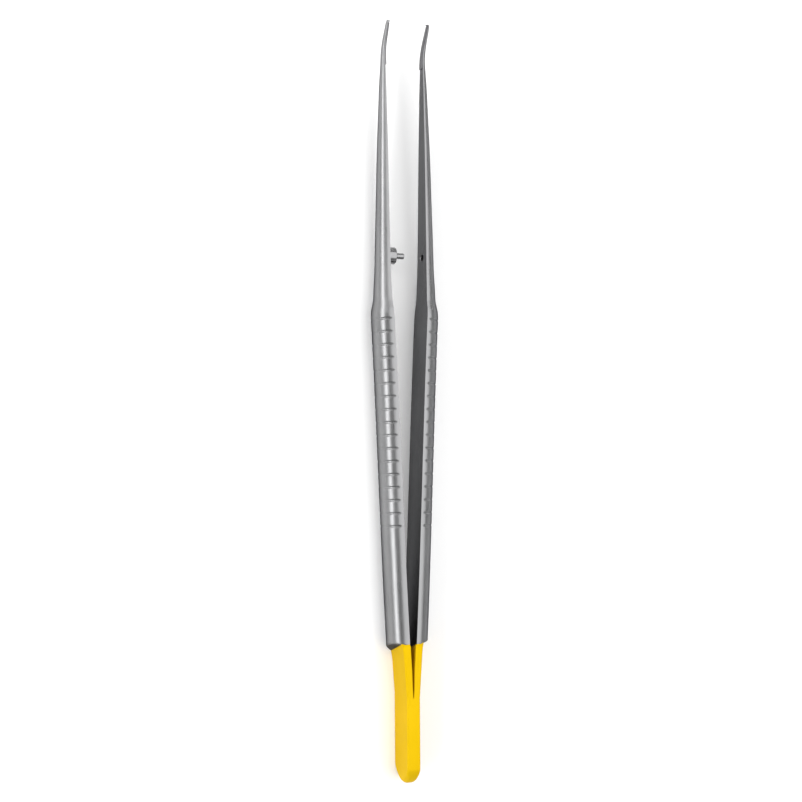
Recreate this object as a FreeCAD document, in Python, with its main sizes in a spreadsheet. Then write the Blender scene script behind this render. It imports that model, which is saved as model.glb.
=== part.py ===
# Micro tissue forceps, lying on the edges of the handles with the bent tips up, in millimetres.
#
# X is the way the jaws open, Y runs along the instrument with the tips at +Y, and Z is up.
# The origin is at the middle of the footprint, on the surface that the forceps lies on.
# Each arm and what it carries is drawn as it stands when the jaws are closed: the root of the
# leaf spring is at the body's own origin and the arms meet at x = 0. The placement opens it.

import FreeCAD
import Part
import Sketcher
import math
import os

# Driving dimensions: alias, millimetres or degrees, and what it measures.
SIZES = [
    ("tail_length", 20.4, "welded tail, from the butt to the end of the slot"),
    ("tail_thickness", 3.3, "both arms together at the tail"),
    ("bar_width", 8.3, "width of the flat tail and of the leaf springs"),
    ("butt_radius", 4.0, "rounding of the butt, seen on its broad side"),
    ("tail_edge_round", 0.35, "softened edges of the tail"),
    ("opening_angle", 1.72, "angle that one arm turns between open and closed"),
    ("root_gap", 0.05, "half gap between the springs at the end of the slot"),
    ("leaf_length", 12.6, "leaf spring, from its root to the handle"),
    ("leaf_thickness", 1.65, "thickness of one leaf spring at the handle"),
    ("leaf_overlap", 0.5, "how far the spring runs on into the handle"),
    ("rear_gap", 0.47, "half gap at the rear of the handles, closed"),
    ("facet_at", 11.7, "slanted rear face of a handle, where it meets the spring"),
    ("facet_lean", 24.0, "lean of that face towards the outer side"),
    ("facet_rise", 14.8, "rise of that face towards the upper side"),
    ("handle_radius", 4.15, "half round handle"),
    ("handle_angle", 0.77, "angle of a handle's flat from the closing plane"),
    ("handle_length", 81.1, "handle with its front shoulder"),
    ("shoulder_length", 4.0, "rounded front shoulder of the handle"),
    ("neck_radius", 3.35, "half round shank just in front of the handle"),
    ("shank_length", 57.3, "shank, from the handle to the bend"),
    ("shank_overlap", 0.5, "how far the shank starts inside the handle"),
    ("upper_at", 7.3, "first station of the shank's taper"),
    ("upper_radius", 2.9, "half round shank at that station"),
    ("middle_at", 16.8, "second station"),
    ("middle_radius", 2.59, "half round shank there"),
    ("fore_at", 35.7, "third station"),
    ("fore_radius", 2.0, "half round shank there"),
    ("slim_at", 52.0, "fourth station"),
    ("slim_radius", 1.25, "half round shank there"),
    ("bend_section", 0.85, "half round section of the bend"),
    ("bend_radius", 9.6, "centre line of the bend"),
    ("bend_angle", 30.0, "angle of the bent tips"),
    ("tip_length", 4.4, "straight tip in front of the bend"),
    ("tip_radius", 0.58, "half round tip at its end"),
    ("tip_gap", 0.3, "half gap between the flats of the tips, closed"),
    ("nose_length", 0.3, "rounded end of the tip"),
    ("groove_count", 17, "grip grooves on each handle"),
    ("groove_pitch", 3.05, "distance between the grip grooves"),
    ("groove_width", 0.8, "width of a groove"),
    ("groove_depth", 0.2, "depth of a groove on the outer side"),
    ("groove_shift", 0.29, "shift of the cut, so that the grooves fade out near the flat"),
    ("groove_start", 4.6, "last groove, from the front end of the handle"),
    ("groove_sweep", 170.0, "angle that the cut of a groove turns"),
    ("pin_at", 10.6, "guide pin, from the front end of the handle"),
    ("pin_root_radius", 1.1, "pin's shank in the left arm"),
    ("pin_root_depth", 1.6, "length of that shank"),
    ("boss_radius", 2.02, "pin's boss"),
    ("boss_height", 1.9, "boss above the flat"),
    ("pin_radius", 0.7, "thin end of the pin"),
    ("pin_length", 2.35, "thin end beyond the boss"),
    ("pin_nose", 0.2, "bevel at the pin's end"),
    ("guide_clearance", 0.17, "radial play of the pin in its hole"),
    ("guide_bottom", 0.4, "play at the bottom of the hole, closed"),
    ("insert_start", 2.5, "hard insert, from its rear to the start of the bend"),
    ("insert_seat", 0.42, "seat of the insert, from the closing plane"),
    ("insert_play", 0.02, "half gap between the closed inserts"),
    ("insert_rear_width", 0.8, "half width of the insert at its rear"),
    ("insert_front_width", 0.5, "half width of the insert at its front"),
    ("tooth_length", 0.4, "teeth at the end of the tips"),
    ("tooth_play", 0.06, "play between the meshing teeth"),
    ("tooth_reach", 0.2, "how far a tooth passes the closing plane"),
    ("notch_width", 0.17, "half width of the notch between the two teeth"),
]

# The outline of a hard insert follows the bend in this many straight steps.
BEND_STEPS = 4

LEFT = -1
RIGHT = 1

# A new outline starts this far from its sketch's origin, until its constraints place it.
SEED_RADIUS = 10
TOLERANCE = 1e-6

doc = FreeCAD.newDocument("micro_tissue_forceps")


def make_sheet():
    """The spreadsheet that every body reads."""
    sheet = doc.addObject("Spreadsheet::Sheet", "sizes")
    for row, (alias, size, meaning) in enumerate(SIZES, start=1):
        sheet.set(f"A{row}", alias)
        sheet.set(f"B{row}", str(size))
        sheet.set(f"C{row}", meaning)
        sheet.setAlias(f"B{row}", alias)
    doc.recompute()
    return sheet


# Places that follow from the driving dimensions, in the closed arm's own frame.
NECK_X = "(sizes.rear_gap + sizes.handle_length * sin(sizes.handle_angle))"
NECK_Y = "(sizes.leaf_length + sizes.handle_length * cos(sizes.handle_angle))"
SHANK_ANGLE = f"asin(({NECK_X} - sizes.tip_gap) / sizes.shank_length)"
BEND_Y = f"({NECK_Y} + sizes.shank_length * cos({SHANK_ANGLE}))"
TIP_Y = f"({BEND_Y} + sizes.bend_radius * sin(sizes.bend_angle))"
TIP_Z = "(sizes.bend_radius * (1 - cos(sizes.bend_angle)))"
ARM_END = (
    f"({TIP_Y} + sizes.tip_length * cos(sizes.bend_angle)"
    " + sizes.insert_front_width * sin(sizes.bend_angle))"
)
ROOT_Y = f"((sizes.tail_length - {ARM_END} * cos(sizes.opening_angle)) / 2)"
AXIS_Z = "max(sizes.handle_radius; sizes.bar_width / 2)"
PIN_X = f"({NECK_X} - sizes.pin_at * sin({SHANK_ANGLE}))"
PIN_REACH = "(sizes.boss_height + sizes.pin_length)"


def shank_point(distance):
    """X and Y of a point on the shank's flat, so far from the front end of the handle."""
    return (
        f"({NECK_X} - ({distance}) * sin({SHANK_ANGLE}))",
        f"({NECK_Y} + ({distance}) * cos({SHANK_ANGLE}))",
    )


def make_body(name, side=0):
    """A body whose origin is at the root of the springs, turned open if it is on one side."""
    body = doc.addObject("PartDesign::Body", name)
    body.Label = name
    turn = f"{-side} * sizes.opening_angle"
    body.setExpression(
        "Placement", f"placement(vector(0; {ROOT_Y}; {AXIS_Z}); rotation({turn}; 0; 0))"
    )
    return body


def make_sketch(body, name, plane, place=("0", "0", "0"), turns=("0", "0", "0")):
    """An empty sketch on one of the body's own planes, moved and turned (yaw, pitch, roll)."""
    sketch = body.newObject("Sketcher::SketchObject", name)
    found = [each for each in body.Origin.OriginFeatures if each.Role == plane]
    sketch.AttachmentSupport = (found[0], [""])
    sketch.MapMode = "FlatFace"
    sketch.setExpression(
        "AttachmentOffset",
        f"placement(vector({'; '.join(place)}); rotation({'; '.join(turns)}))",
    )
    return sketch


def pin_point(sketch, geometry, point, across, along):
    """Ties a point of the sketch to two expressions."""
    for kind, expression in (("DistanceX", across), ("DistanceY", along)):
        index = sketch.addConstraint(Sketcher.Constraint(kind, -1, 1, geometry, point, 1.0))
        sketch.setExpression(f"Constraints[{index}]", expression)


def add_polygon(sketch, corners):
    """A closed outline of straight lines, each corner tied to its two expressions."""
    first = sketch.GeometryCount
    count = len(corners)
    turn = 2 * math.pi / count
    seeds = [
        FreeCAD.Vector(math.cos(turn * step), math.sin(turn * step), 0) * SEED_RADIUS
        for step in range(count)
    ]
    for step in range(count):
        line = Part.LineSegment(seeds[step], seeds[(step + 1) % count])
        sketch.addGeometry(line, False)
    for step in range(count):
        after = first + (step + 1) % count
        sketch.addConstraint(Sketcher.Constraint("Coincident", first + step, 2, after, 1))
    for step, (across, along) in enumerate(corners):
        pin_point(sketch, first + step, 1, across, along)
    return sketch


def add_circle(sketch, radius):
    """A circle about the sketch's origin."""
    circle = Part.Circle(FreeCAD.Vector(0, 0, 0), FreeCAD.Vector(0, 0, 1), 1.0)
    index = sketch.addGeometry(circle, False)
    sketch.addConstraint(Sketcher.Constraint("Coincident", index, 3, -1, 1))
    size = sketch.addConstraint(Sketcher.Constraint("Radius", index, 1.0))
    sketch.setExpression(f"Constraints[{size}]", radius)
    return sketch


def add_half_disc(sketch, side, across, along, radius):
    """A half disc with its flat side upright and its round side to the left or the right."""
    start = -math.pi / 2 if side == RIGHT else math.pi / 2
    middle = FreeCAD.Vector(side, -SEED_RADIUS, 0)
    upward = FreeCAD.Vector(0, side, 0)
    circle = Part.Circle(middle, FreeCAD.Vector(0, 0, 1), 1.0)
    arc = sketch.addGeometry(Part.ArcOfCircle(circle, start, start + math.pi), False)
    flat = sketch.addGeometry(Part.LineSegment(middle + upward, middle - upward), False)
    sketch.addConstraint(Sketcher.Constraint("Coincident", arc, 2, flat, 1))
    sketch.addConstraint(Sketcher.Constraint("Coincident", flat, 2, arc, 1))
    sketch.addConstraint(Sketcher.Constraint("Vertical", flat))
    sketch.addConstraint(Sketcher.Constraint("PointOnObject", arc, 3, flat))
    size = sketch.addConstraint(Sketcher.Constraint("Radius", arc, 1.0))
    sketch.setExpression(f"Constraints[{size}]", radius)
    pin_point(sketch, arc, 3, across, along)
    return sketch


def turn_solid(body, name, sketch, axis, angle, midplane):
    """Turns a sketch about one of its own axes into a solid."""
    feature = body.newObject("PartDesign::Revolution", name)
    feature.Profile = sketch
    feature.ReferenceAxis = (sketch, [axis])
    feature.Midplane = midplane
    feature.setExpression("Angle", angle)
    return feature


def pad(body, name, sketch, length, midplane=False, backwards=False):
    """Raises a sketch into a solid."""
    feature = body.newObject("PartDesign::Pad", name)
    feature.Profile = sketch
    feature.Midplane = midplane
    feature.Reversed = backwards
    feature.setExpression("Length", length)
    return feature


def pocket(body, name, sketch, length, backwards):
    """Cuts a sketch into the body. It cuts against the sketch's normal, or along it if backwards."""
    feature = body.newObject("PartDesign::Pocket", name)
    feature.Profile = sketch
    feature.Reversed = backwards
    feature.setExpression("Length", length)
    return feature


def edges_along_x(shape):
    """Names of the straight edges that run along X."""
    names = []
    for index, edge in enumerate(shape.Edges, start=1):
        run = edge.Vertexes[-1].Point - edge.Vertexes[0].Point
        if abs(run.x) > TOLERANCE and math.hypot(run.y, run.z) < TOLERANCE:
            names.append((f"Edge{index}", edge.Vertexes[0].Point.y))
    return names


def side_rims(shape):
    """Names of the edges round both broad sides, apart from those on the front end."""
    front = max(vertex.Point.y for vertex in shape.Vertexes)
    names = []
    for index, edge in enumerate(shape.Edges, start=1):
        start, end = edge.Vertexes[0].Point, edge.Vertexes[-1].Point
        across = abs(start.x - end.x) > TOLERANCE
        on_front = min(start.y, end.y) > front - TOLERANCE
        if not across and not on_front:
            names.append(f"Edge{index}")
    return names


def make_tail():
    """The ends of both arms, welded flat on each other, with a fully rounded butt."""
    body = make_body("welded_tail")
    half_width = "sizes.bar_width / 2"
    sketch = make_sketch(body, "tail_outline", "YZ_Plane")
    add_polygon(
        sketch,
        [
            ("-sizes.tail_length", f"-{half_width}"),
            ("0", f"-{half_width}"),
            ("0", half_width),
            ("-sizes.tail_length", half_width),
        ],
    )
    bar = pad(body, "tail_bar", sketch, "sizes.tail_thickness", midplane=True)
    doc.recompute()
    butt_y = min(y for _, y in edges_along_x(bar.Shape))
    corners = [name for name, y in edges_along_x(bar.Shape) if y - butt_y < TOLERANCE]
    butt = body.newObject("PartDesign::Fillet", "butt")
    butt.Base = (bar, corners)
    butt.setExpression("Radius", "sizes.butt_radius")
    doc.recompute()
    soft = body.newObject("PartDesign::Fillet", "soft_edges")
    soft.Base = (butt, side_rims(butt.Shape))
    soft.setExpression("Radius", "sizes.tail_edge_round")
    return body


def add_handle(body, side):
    """Half round handle with its rounded front shoulder, cut off at a slant at the rear."""
    radius = f"{side} * sizes.handle_radius"
    rear = "(sizes.facet_at - sizes.handle_radius - sizes.leaf_length)"
    step = "(sizes.handle_radius - sizes.neck_radius)"
    profile = make_sketch(
        body,
        "handle_profile",
        "XY_Plane",
        (f"{side} * sizes.rear_gap", "sizes.leaf_length", "0"),
        (f"{-side} * sizes.handle_angle", "0", "0"),
    )
    add_polygon(
        profile,
        [
            ("0", rear),
            (radius, rear),
            (radius, "sizes.handle_length - sizes.shoulder_length"),
            (f"{side} * (sizes.handle_radius - {step} / 4)",
             "sizes.handle_length - sizes.shoulder_length / 2"),
            (f"{side} * sizes.neck_radius", "sizes.handle_length"),
            ("0", "sizes.handle_length"),
        ],
    )
    turn_solid(body, "handle", profile, "V_Axis", "180", midplane=True)
    cutter = make_sketch(
        body,
        "facet_outline",
        "XZ_Plane",
        (f"{side} * (sizes.rear_gap + sizes.leaf_thickness)", "0", "-sizes.facet_at"),
        ("0", f"{side} * sizes.facet_lean", "-sizes.facet_rise"),
    )
    reach = "2 * sizes.handle_radius"
    add_polygon(
        cutter,
        [(f"-{reach}", f"-{reach}"), (reach, f"-{reach}"), (reach, reach), (f"-{reach}", reach)],
    )
    pocket(body, "rear_facet", cutter, reach, backwards=True)


def add_grooves(body, side):
    """Ring grooves across the outer side of the handle."""
    axis_x = f"{side} * (sizes.rear_gap - sizes.groove_shift)"
    bottom = f"(sizes.handle_radius + sizes.groove_shift - sizes.groove_depth)"
    outside = f"(sizes.handle_radius + sizes.groove_shift + sizes.groove_depth)"
    last = "(sizes.handle_length - sizes.groove_start)"
    sketch = make_sketch(
        body,
        "groove_profile",
        "XY_Plane",
        (axis_x, "sizes.leaf_length", "0"),
        (f"{-side} * sizes.handle_angle", "0", "0"),
    )
    add_polygon(
        sketch,
        [
            (f"{side} * {bottom}", last),
            (f"{side} * {outside}", f"{last} + sizes.groove_width"),
            (f"{side} * {outside}", f"{last} - sizes.groove_width"),
        ],
    )
    groove = body.newObject("PartDesign::Groove", "groove")
    groove.Profile = sketch
    groove.ReferenceAxis = (sketch, ["V_Axis"])
    groove.Midplane = True
    groove.setExpression("Angle", "sizes.groove_sweep")
    doc.recompute()
    rings = body.newObject("PartDesign::LinearPattern", "grip_grooves")
    rings.Originals = [groove]
    rings.Direction = (sketch, ["V_Axis"])
    rings.Reversed = True
    rings.setExpression("Length", "sizes.groove_pitch * (sizes.groove_count - 1)")
    rings.setExpression("Occurrences", "sizes.groove_count")
    body.Tip = rings


def add_leaf(body, side):
    """Leaf spring between the welded tail and the handle. Its root is square when open."""
    cosine = "cos(sizes.opening_angle)"
    sine = "sin(sizes.opening_angle)"
    end = "(sizes.leaf_length + sizes.leaf_overlap)"
    slope = "((sizes.rear_gap - sizes.root_gap) / sizes.leaf_length)"
    inner_end = f"(sizes.root_gap + {end} * {slope})"
    sketch = make_sketch(body, "leaf_outline", "XY_Plane")
    add_polygon(
        sketch,
        [
            (f"{side} * sizes.root_gap * {cosine}", f"sizes.root_gap * {sine}"),
            (f"{side} * sizes.tail_thickness / 2 * {cosine}",
             f"sizes.tail_thickness / 2 * {sine}"),
            (f"{side} * ({inner_end} + sizes.leaf_thickness)", end),
            (f"{side} * {inner_end}", end),
        ],
    )
    pad(body, "leaf_spring", sketch, "sizes.bar_width", midplane=True)


def add_shank(body, side):
    """Half round shank, tapered to the bend."""
    stations = [
        ("sizes.upper_radius", "sizes.upper_at"),
        ("sizes.middle_radius", "sizes.middle_at"),
        ("sizes.fore_radius", "sizes.fore_at"),
        ("sizes.slim_radius", "sizes.slim_at"),
        ("sizes.bend_section", "sizes.shank_length"),
    ]
    sketch = make_sketch(
        body,
        "shank_profile",
        "XY_Plane",
        (f"{side} * {NECK_X}", NECK_Y, "0"),
        (f"{side} * {SHANK_ANGLE}", "0", "0"),
    )
    outline = [("0", "-sizes.shank_overlap")]
    outline.append((f"{side} * sizes.neck_radius", "-sizes.shank_overlap"))
    outline.append((f"{side} * sizes.neck_radius", "0"))
    outline += [(f"{side} * {radius}", at) for radius, at in stations]
    outline.append(("0", "sizes.shank_length"))
    add_polygon(sketch, outline)
    turn_solid(body, "shank", sketch, "V_Axis", "180", midplane=True)


def add_tip(body, side):
    """The bend, the straight tip in front of it, and the seat of the hard insert."""
    section = make_sketch(
        body, "bend_section", "XZ_Plane", ("0", "sizes.bend_radius", f"-{BEND_Y}")
    )
    add_half_disc(
        section, side, f"{side} * sizes.tip_gap", "-sizes.bend_radius", "sizes.bend_section"
    )
    turn_solid(body, "bend", section, "H_Axis", "sizes.bend_angle", midplane=False)
    profile = make_sketch(
        body,
        "tip_profile",
        "XY_Plane",
        (f"{side} * sizes.tip_gap", TIP_Y, TIP_Z),
        ("0", "0", "sizes.bend_angle"),
    )
    add_polygon(
        profile,
        [
            ("0", "0"),
            (f"{side} * sizes.bend_section", "0"),
            (f"{side} * sizes.tip_radius", "sizes.tip_length - sizes.nose_length"),
            (f"{side} * (sizes.tip_radius - sizes.nose_length / 2)", "sizes.tip_length"),
            ("0", "sizes.tip_length"),
        ],
    )
    turn_solid(body, "tip", profile, "V_Axis", "180", midplane=True)
    seat = make_sketch(
        body, "seat_outline", "YZ_Plane", ("0", "0", f"{side} * sizes.insert_seat")
    )
    reach = "2 * sizes.bend_section"
    rear = f"({BEND_Y} - sizes.insert_start)"
    far = f"({TIP_Y} + sizes.tip_length)"
    top = f"({TIP_Z} + sizes.tip_length)"
    add_polygon(seat, [(rear, f"-{reach}"), (far, f"-{reach}"), (far, top), (rear, top)])
    pocket(body, "insert_seat", seat, reach, backwards=side == LEFT)


def tip_plane(side, height):
    """Place and turns of a sketch that lies along the tip, so far from the closing plane."""
    return (TIP_Y, TIP_Z, f"{side} * {height}"), ("sizes.bend_angle", "0", "0")


def insert_width(share):
    """Half width of an insert, that share of the way from its rear to its front."""
    taper = "(sizes.insert_rear_width - sizes.insert_front_width)"
    return f"(sizes.insert_rear_width - {taper} * {share})"


def beside_bend(share, offset):
    """Y and Z of a point so far above the centre line, that share of the way round the bend."""
    turned = f"(sizes.bend_angle * {share})"
    radius = f"(sizes.bend_radius - ({offset}))"
    return (
        f"({BEND_Y} + {radius} * sin({turned}))",
        f"(sizes.bend_radius - {radius} * cos({turned}))",
    )


def beside_tip(distance, offset):
    """Y and Z of a point so far above the centre line, that distance in front of the bend."""
    return (
        f"({TIP_Y} + ({distance}) * cos(sizes.bend_angle) - ({offset}) * sin(sizes.bend_angle))",
        f"({TIP_Z} + ({distance}) * sin(sizes.bend_angle) + ({offset}) * cos(sizes.bend_angle))",
    )


def plate_edge(front, sign):
    """One long edge of an insert, from its rear to its front."""
    edge = [(f"({BEND_Y} - sizes.insert_start)", f"{sign} * sizes.insert_rear_width")]
    for step in range(BEND_STEPS + 1):
        share = step / BEND_STEPS
        width = insert_width(0.25 + 0.4 * share)
        edge.append(beside_bend(share, f"{sign} * {width}"))
    edge.append(beside_tip(front, f"{sign} * sizes.insert_front_width"))
    return edge


def add_round_hole(body, side, distance, radius, depth):
    """A blind hole square to the shank's flat."""
    x, y = shank_point(distance)
    lean = f"{side} * {SHANK_ANGLE}"
    sketch = make_sketch(
        body,
        "hole_outline",
        "YZ_Plane",
        (
            f"{y} + ({depth}) * sin({SHANK_ANGLE})",
            "0",
            f"{side} * ({x} + ({depth}) * cos({SHANK_ANGLE}))",
        ),
        ("0", lean, "0"),
    )
    add_circle(sketch, radius)
    pocket(body, "hole", sketch, f"({depth}) + sizes.boss_height", backwards=side == LEFT)


def make_arm(name, side):
    """One forging from the leaf spring to the tip."""
    body = make_body(name, side)
    add_handle(body, side)
    add_grooves(body, side)
    add_leaf(body, side)
    add_shank(body, side)
    add_tip(body, side)
    return body


def make_guide_pin():
    """Turned pin, pressed into the left arm, that meets the hole in the right arm."""
    body = make_body("guide_pin", LEFT)
    x, y = shank_point("sizes.pin_at")
    sketch = make_sketch(
        body, "pin_profile", "XY_Plane", (f"-{x}", y, "0"), (f"-{SHANK_ANGLE}", "0", "0")
    )
    add_polygon(
        sketch,
        [
            ("-sizes.pin_root_depth", "0"),
            ("-sizes.pin_root_depth", "sizes.pin_root_radius"),
            ("0", "sizes.pin_root_radius"),
            ("0", "sizes.boss_radius"),
            ("sizes.boss_height", "sizes.boss_radius"),
            ("sizes.boss_height", "sizes.pin_radius"),
            (f"{PIN_REACH} - sizes.pin_nose", "sizes.pin_radius"),
            (PIN_REACH, "sizes.pin_radius - sizes.pin_nose"),
            (PIN_REACH, "0"),
        ],
    )
    turn_solid(body, "pin", sketch, "H_Axis", "360", midplane=False)
    return body


def make_insert(name, side, teeth):
    """Hard insert on the inner side of a bent tip, with its teeth at the end."""
    body = make_body(name, side)
    back = side == LEFT
    front = "(sizes.tip_length - sizes.tooth_length - sizes.tooth_play)"
    plate = make_sketch(
        body, "plate_outline", "YZ_Plane", ("0", "0", f"{side} * sizes.insert_play")
    )
    add_polygon(plate, plate_edge(front, -1) + plate_edge(front, 1)[::-1])
    pad(body, "plate", plate, "sizes.insert_seat - sizes.insert_play", backwards=back)
    clear = "(sizes.tooth_reach + sizes.tooth_play)"
    ledge = make_sketch(body, "ledge_outline", "YZ_Plane", *tip_plane(side, clear))
    add_polygon(
        ledge,
        [
            (front, "-sizes.insert_front_width"),
            ("sizes.tip_length", "-sizes.insert_front_width"),
            ("sizes.tip_length", "sizes.insert_front_width"),
            (front, "sizes.insert_front_width"),
        ],
    )
    pad(body, "ledge", ledge, f"sizes.insert_seat - {clear}", backwards=back)
    for number, (low, high) in enumerate(teeth, start=1):
        outline = make_sketch(
            body, f"tooth_outline_{number}", "YZ_Plane", *tip_plane(side, "-sizes.tooth_reach")
        )
        near = "(sizes.tip_length - sizes.tooth_length)"
        add_polygon(
            outline,
            [(near, low), ("sizes.tip_length", low), ("sizes.tip_length", high), (near, high)],
        )
        pad(body, f"tooth_{number}", outline, "sizes.tooth_reach + sizes.insert_seat", backwards=back)
    return body


make_sheet()
tail = make_tail()
left_arm = make_arm("left_arm", LEFT)
add_round_hole(
    left_arm, LEFT, "sizes.pin_at", "sizes.pin_root_radius", "sizes.pin_root_depth"
)
right_arm = make_arm("right_arm", RIGHT)
add_round_hole(
    right_arm,
    RIGHT,
    f"sizes.pin_at - 2 * {PIN_X} * sin({SHANK_ANGLE})",
    "sizes.pin_radius + sizes.guide_clearance",
    f"{PIN_REACH} - 2 * {PIN_X} + sizes.guide_bottom",
)
guide_pin = make_guide_pin()
single_tooth = [("sizes.tooth_play - sizes.notch_width", "sizes.notch_width - sizes.tooth_play")]
double_teeth = [
    ("-sizes.insert_front_width", "-sizes.notch_width"),
    ("sizes.notch_width", "sizes.insert_front_width"),
]
left_insert = make_insert("left_tip_insert", LEFT, single_tooth)
right_insert = make_insert("right_tip_insert", RIGHT, double_teeth)
doc.recompute()

nodes = [tail, left_arm, right_arm, guide_pin, left_insert, right_insert]
for each in doc.Objects:
    if "Invalid" in each.State or "Error" in each.State:
        raise RuntimeError(f"{each.Label} failed: {each.State}")
for node in nodes:
    if node.Shape.isNull() or not node.Shape.isValid():
        raise RuntimeError(f"{node.Label} has no valid shape")

os.makedirs("parts", exist_ok=True)
for node in nodes:
    node.Shape.exportStep(f"parts/{node.Label}.step")
    box = node.Shape.BoundBox
    print(
        f"{node.Label}: {len(node.Shape.Solids)} solid, {node.Shape.Volume:.1f} mm3,"
        f" x {box.XMin:.2f} {box.XMax:.2f}, y {box.YMin:.2f} {box.YMax:.2f},"
        f" z {box.ZMin:.2f} {box.ZMax:.2f}"
    )
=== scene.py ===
# Micro tissue forceps with a gold plated tail, lying on a pale table under soft studio light.
#
# Lengths are in millimetres and become metres where a mesh is made. Only the table, the lights
# and the camera's distance are in metres. A station is a distance from the butt of the tail.
# Both arms are made as the right one, and the left is its mirror.

import bmesh
import bpy
import math
from mathutils import Matrix, Vector


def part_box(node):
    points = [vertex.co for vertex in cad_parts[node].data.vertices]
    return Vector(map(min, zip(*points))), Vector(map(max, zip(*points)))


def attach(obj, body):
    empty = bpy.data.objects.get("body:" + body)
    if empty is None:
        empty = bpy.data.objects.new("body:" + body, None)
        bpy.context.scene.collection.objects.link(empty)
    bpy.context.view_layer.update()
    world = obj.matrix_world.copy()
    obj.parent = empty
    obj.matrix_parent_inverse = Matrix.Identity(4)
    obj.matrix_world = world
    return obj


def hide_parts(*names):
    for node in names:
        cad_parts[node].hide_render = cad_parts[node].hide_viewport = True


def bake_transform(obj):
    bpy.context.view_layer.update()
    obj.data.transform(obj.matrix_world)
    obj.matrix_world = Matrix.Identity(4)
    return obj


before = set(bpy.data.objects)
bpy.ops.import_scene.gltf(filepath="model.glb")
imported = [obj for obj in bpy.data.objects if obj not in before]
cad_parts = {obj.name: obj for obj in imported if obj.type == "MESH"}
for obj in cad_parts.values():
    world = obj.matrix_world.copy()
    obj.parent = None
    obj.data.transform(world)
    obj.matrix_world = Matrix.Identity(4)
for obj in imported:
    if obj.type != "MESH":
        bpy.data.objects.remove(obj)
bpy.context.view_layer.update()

MM = 0.001

# Driving sizes, from the solid tail: its butt, the root of the arms, the height of the arms'
# axis, half the width of the forceps and half the thickness of the tail.
TAIL_LOW, TAIL_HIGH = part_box("welded_tail")
BUTT = TAIL_LOW.y / MM
ROOT = TAIL_HIGH.y / MM - BUTT
AXIS_HEIGHT = (TAIL_LOW.z + TAIL_HIGH.z) / 2 / MM
HALF_WIDTH = (TAIL_HIGH.z - TAIL_LOW.z) / 2 / MM
TAIL_HALF = TAIL_HIGH.x / MM

# Jaws, as the closed arm has them: the opening, the start, radius and turn of the bend, their
# end, half the gap between the steel flats, and how far these lean apart behind the bend.
OPENING = math.radians(1.72)
BEND_AT = 150.98
BEND_RADIUS = 9.6
BEND_TURN = math.radians(30.0)
BEND_END = BEND_RADIUS * BEND_TURN
TIP_END = BEND_END + 4.4
TIP_GAP = 0.3
JAW_LEAN = 0.022

# Flat side of an open arm: station, distance from the middle plane.
FLAT = [
    (20.4, 0.05), (33.0, 0.85), (109.0, 4.15), (111.6, 4.31), (114.0, 4.41), (116.0, 4.47),
    (121.0, 4.55), (130.0, 4.63), (144.0, 4.69), (161.0, 4.76), (168.0, 4.807),
]

# Half round section: station, radius.
RADIUS = [
    (28.0, 4.15), (109.2, 4.15), (110.4, 4.12), (111.6, 3.97), (112.8, 3.67), (114.0, 3.39),
    (115.2, 3.27), (116.6, 3.19), (121.0, 2.9), (130.5, 2.58), (137.6, 2.35), (149.4, 1.99),
    (156.5, 1.68), (161.2, 1.47), (165.9, 1.24), (168.3, 1.06), (170.4, 0.92), (172.5, 0.81),
    (174.5, 0.72), (176.5, 0.64), (178.5, 0.55), (180.8, 0.42),
]

# Slanted rear face of a handle: station on the middle plane, its lean outwards from a
# distance on, and its rise.
FACET_AT = 30.7
FACET_LEAN = 0.41
FACET_FROM = 2.0
FACET_RISE = 0.34
FACET_ROUND = 0.2

# Grip grooves: front one, distance, number, width, depth, and where they get shallower on the
# round side, which goes from 0 at the flat to 1 outermost.
GROOVE_FRONT = 109.5
GROOVE_PITCH = 3.05
GROOVES = 17
GROOVE_WIDTH = 0.8
GROOVE_DEPTH = 0.19
GROOVE_FADE = (0.75, 0.98)

# Edge roundings of the gold part, along its sides, at the butt and in the slot.
EDGE_ROUND = 0.38
BUTT_ROUND = 1.3
SLOT_ROUND = 0.12

# Leaf springs: half the slot between them at its end, their thickness, the station where they
# have it, how much they thicken inwards and flare outwards near the handle, how deep they hide
# under its surface, and their end in it.
SLOT_HALF = 0.05
LEAF_THICK = 1.65
LEAF_FULL = 33.0
LEAF_EXTRA = 0.17
LEAF_FLARE = 0.28
HIDDEN = 0.03
SPRING_END = 36.0

# Ends of the jaws: length of the nose and the share of its squared width that it loses.
NOSE_LENGTH = 0.6
NOSE_LOSS = 0.55

# Guide pin and hole.
BOSS_RADIUS = 2.02
PIN_RADIUS = 0.7
PIN_LENGTH = 2.35
HOLE_RADIUS = 0.87
HOLE_DEPTH = 2.0

# Hard inserts: rear and front ahead of the bend, out of the closing plane, half width and
# what it loses towards the front.
INSERT_REAR = -1.3
INSERT_FRONT = TIP_END - 0.46
INSERT_FACE = 0.02
INSERT_BACK = 0.5
INSERT_HALF = 0.8
INSERT_LOSS = 0.38

# Step in front of each insert, and the teeth on it: half width, top, length, top.
STEP_HALF = 0.33
STEP_TOP = 0.26
TOOTH_LENGTH = 0.42
TOOTH_TOP = -0.2

# Table, in metres: radius of its level part and of the curve round it, and the wall's top. Its
# glow is a strength.
TABLE_LEVEL = 0.75
TABLE_CURVE = 0.25
WALL_TOP = 0.42
TABLE_GLOW = 0.08

# Camera: its lean to the left, tilt, roll and distance, how far left of the middle it aims,
# and its lens.
CAMERA_LEAN = math.radians(22.0)
CAMERA_TILT = math.radians(1.5)
CAMERA_ROLL = math.radians(-0.385)
CAMERA_DISTANCE = 0.3
CAMERA_ASIDE = 0.99
CAMERA_LENS = 56.55


def smoothstep(value):
    value = min(1.0, max(0.0, value))
    return value * value * (3 - 2 * value)


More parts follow.
